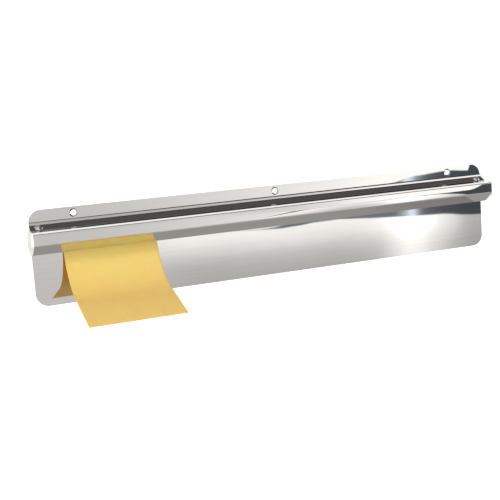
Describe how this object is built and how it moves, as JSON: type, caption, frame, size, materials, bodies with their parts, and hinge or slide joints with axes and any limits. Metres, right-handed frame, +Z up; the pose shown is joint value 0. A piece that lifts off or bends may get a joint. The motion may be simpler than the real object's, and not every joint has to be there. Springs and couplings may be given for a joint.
{
  "type": "order ticket rail",
  "caption": "Wall-mounted stainless order-ticket rail: a folded channel on a back plate holds loose glass marbles that grip paper pushed up behind its lip.",
  "frame": {"origin": "middle of the back plate's rear face, where it lies on the wall", "axes": "+X along the rail to the viewer's right, +Y into the wall, +Z up"},
  "size_m": [0.4642, 0.078, 0.091],
  "materials": {
    "polished_stainless": "bright polished sheet with a faint lengthwise grain",
    "white_plastic": "moulded, semi-gloss",
    "rivet_metal": "bright domed heads",
    "yellow_paper": "plain uncoated paper with no print",
    "marble_glass": "clear, smooth"
  },
  "bodies": {
    "rail": {"back_plate": "polished_stainless", "rail_channel": "polished_stainless", "end_cap_left": "white_plastic", "end_cap_right": "white_plastic", "end_rivets": "rivet_metal"},
    "ticket": {"order_ticket": "yellow_paper"},
    "marble_01": {"marble_01": "marble_glass"},
    "marble_02": {"marble_02": "marble_glass"},
    "marble_03": {"marble_03": "marble_glass"},
    "marble_04": {"marble_04": "marble_glass"},
    "marble_05": {"marble_05": "marble_glass"},
    "marble_06": {"marble_06": "marble_glass"},
    "marble_07": {"marble_07": "marble_glass"},
    "marble_08": {"marble_08": "marble_glass"},
    "marble_09": {"marble_09": "marble_glass"},
    "marble_10": {"marble_10": "marble_glass"},
    "marble_11": {"marble_11": "marble_glass"},
    "marble_12": {"marble_12": "marble_glass"},
    "marble_13": {"marble_13": "marble_glass"},
    "marble_14": {"marble_14": "marble_glass"},
    "marble_15": {"marble_15": "marble_glass"},
    "marble_16": {"marble_16": "marble_glass"},
    "marble_17": {"marble_17": "marble_glass"},
    "marble_18": {"marble_18": "marble_glass"},
    "marble_19": {"marble_19": "marble_glass"},
    "marble_20": {"marble_20": "marble_glass"},
    "marble_21": {"marble_21": "marble_glass"},
    "marble_22": {"marble_22": "marble_glass"},
    "marble_23": {"marble_23": "marble_glass"},
    "marble_24": {"marble_24": "marble_glass"},
    "marble_25": {"marble_25": "marble_glass"},
    "marble_26": {"marble_26": "marble_glass"},
    "marble_27": {"marble_27": "marble_glass"},
    "marble_28": {"marble_28": "marble_glass"},
    "marble_29": {"marble_29": "marble_glass"},
    "marble_30": {"marble_30": "marble_glass"}
  },
  "joints": [
    {"name": "ticket_pull", "type": "slide", "parent": "rail", "child": "ticket", "axis": [0, 0, -1], "range_m": [0, 0.065]},
    {"name": "marble_01_lift", "type": "slide", "parent": "rail", "child": "marble_01", "axis": [0, -0.8032, 0.5957], "range_m": [0, 0.0048]},
    {"name": "marble_02_lift", "type": "slide", "parent": "rail", "child": "marble_02", "axis": [0, -0.8032, 0.5957], "range_m": [0, 0.0043]},
    {"name": "marble_03_lift", "type": "slide", "parent": "rail", "child": "marble_03", "axis": [0, -0.8032, 0.5957], "range_m": [0, 0.0043]},
    {"name": "marble_04_lift", "type": "slide", "parent": "rail", "child": "marble_04", "axis": [0, -0.8032, 0.5957], "range_m": [0, 0.0043]},
    {"name": "marble_05_lift", "type": "slide", "parent": "rail", "child": "marble_05", "axis": [0, -0.8032, 0.5957], "range_m": [0, 0.0043]},
    {"name": "marble_06_lift", "type": "slide", "parent": "rail", "child": "marble_06", "axis": [0, -0.8032, 0.5957], "range_m": [0, 0.0043]},
    {"name": "marble_07_lift", "type": "slide", "parent": "rail", "child": "marble_07", "axis": [0, -0.8032, 0.5957], "range_m": [0, 0.0043]},
    {"name": "marble_08_lift", "type": "slide", "parent": "rail", "child": "marble_08", "axis": [0, -0.8032, 0.5957], "range_m": [0, 0.0048]},
    {"name": "marble_09_lift", "type": "slide", "parent": "rail", "child": "marble_09", "axis": [0, -0.8032, 0.5957], "range_m": [0, 0.0048]},
    {"name": "marble_10_lift", "type": "slide", "parent": "rail", "child": "marble_10", "axis": [0, -0.8032, 0.5957], "range_m": [0, 0.0048]},
    {"name": "marble_11_lift", "type": "slide", "parent": "rail", "child": "marble_11", "axis": [0, -0.8032, 0.5957], "range_m": [0, 0.0048]},
    {"name": "marble_12_lift", "type": "slide", "parent": "rail", "child": "marble_12", "axis": [0, -0.8032, 0.5957], "range_m": [0, 0.0048]},
    {"name": "marble_13_lift", "type": "slide", "parent": "rail", "child": "marble_13", "axis": [0, -0.8032, 0.5957], "range_m": [0, 0.0048]},
    {"name": "marble_14_lift", "type": "slide", "parent": "rail", "child": "marble_14", "axis": [0, -0.8032, 0.5957], "range_m": [0, 0.0048]},
    {"name": "marble_15_lift", "type": "slide", "parent": "rail", "child": "marble_15", "axis": [0, -0.8032, 0.5957], "range_m": [0, 0.0048]},
    {"name": "marble_16_lift", "type": "slide", "parent": "rail", "child": "marble_16", "axis": [0, -0.8032, 0.5957], "range_m": [0, 0.0048]},
    {"name": "marble_17_lift", "type": "slide", "parent": "rail", "child": "marble_17", "axis": [0, -0.8032, 0.5957], "range_m": [0, 0.0048]},
    {"name": "marble_18_lift", "type": "slide", "parent": "rail", "child": "marble_18", "axis": [0, -0.8032, 0.5957], "range_m": [0, 0.0048]},
    {"name": "marble_19_lift", "type": "slide", "parent": "rail", "child": "marble_19", "axis": [0, -0.8032, 0.5957], "range_m": [0, 0.0048]},
    {"name": "marble_20_lift", "type": "slide", "parent": "rail", "child": "marble_20", "axis": [0, -0.8032, 0.5957], "range_m": [0, 0.0048]},
    {"name": "marble_21_lift", "type": "slide", "parent": "rail", "child": "marble_21", "axis": [0, -0.8032, 0.5957], "range_m": [0, 0.0048]},
    {"name": "marble_22_lift", "type": "slide", "parent": "rail", "child": "marble_22", "axis": [0, -0.8032, 0.5957], "range_m": [0, 0.0048]},
    {"name": "marble_23_lift", "type": "slide", "parent": "rail", "child": "marble_23", "axis": [0, -0.8032, 0.5957], "range_m": [0, 0.0048]},
    {"name": "marble_24_lift", "type": "slide", "parent": "rail", "child": "marble_24", "axis": [0, -0.8032, 0.5957], "range_m": [0, 0.0048]},
    {"name": "marble_25_lift", "type": "slide", "parent": "rail", "child": "marble_25", "axis": [0, -0.8032, 0.5957], "range_m": [0, 0.0048]},
    {"name": "marble_26_lift", "type": "slide", "parent": "rail", "child": "marble_26", "axis": [0, -0.8032, 0.5957], "range_m": [0, 0.0048]},
    {"name": "marble_27_lift", "type": "slide", "parent": "rail", "child": "marble_27", "axis": [0, -0.8032, 0.5957], "range_m": [0, 0.0048]},
    {"name": "marble_28_lift", "type": "slide", "parent": "rail", "child": "marble_28", "axis": [0, -0.8032, 0.5957], "range_m": [0, 0.0048]},
    {"name": "marble_29_lift", "type": "slide", "parent": "rail", "child": "marble_29", "axis": [0, -0.8032, 0.5957], "range_m": [0, 0.0048]},
    {"name": "marble_30_lift", "type": "slide", "parent": "rail", "child": "marble_30", "axis": [0, -0.8032, 0.5957], "range_m": [0, 0.0048]}
  ]
}
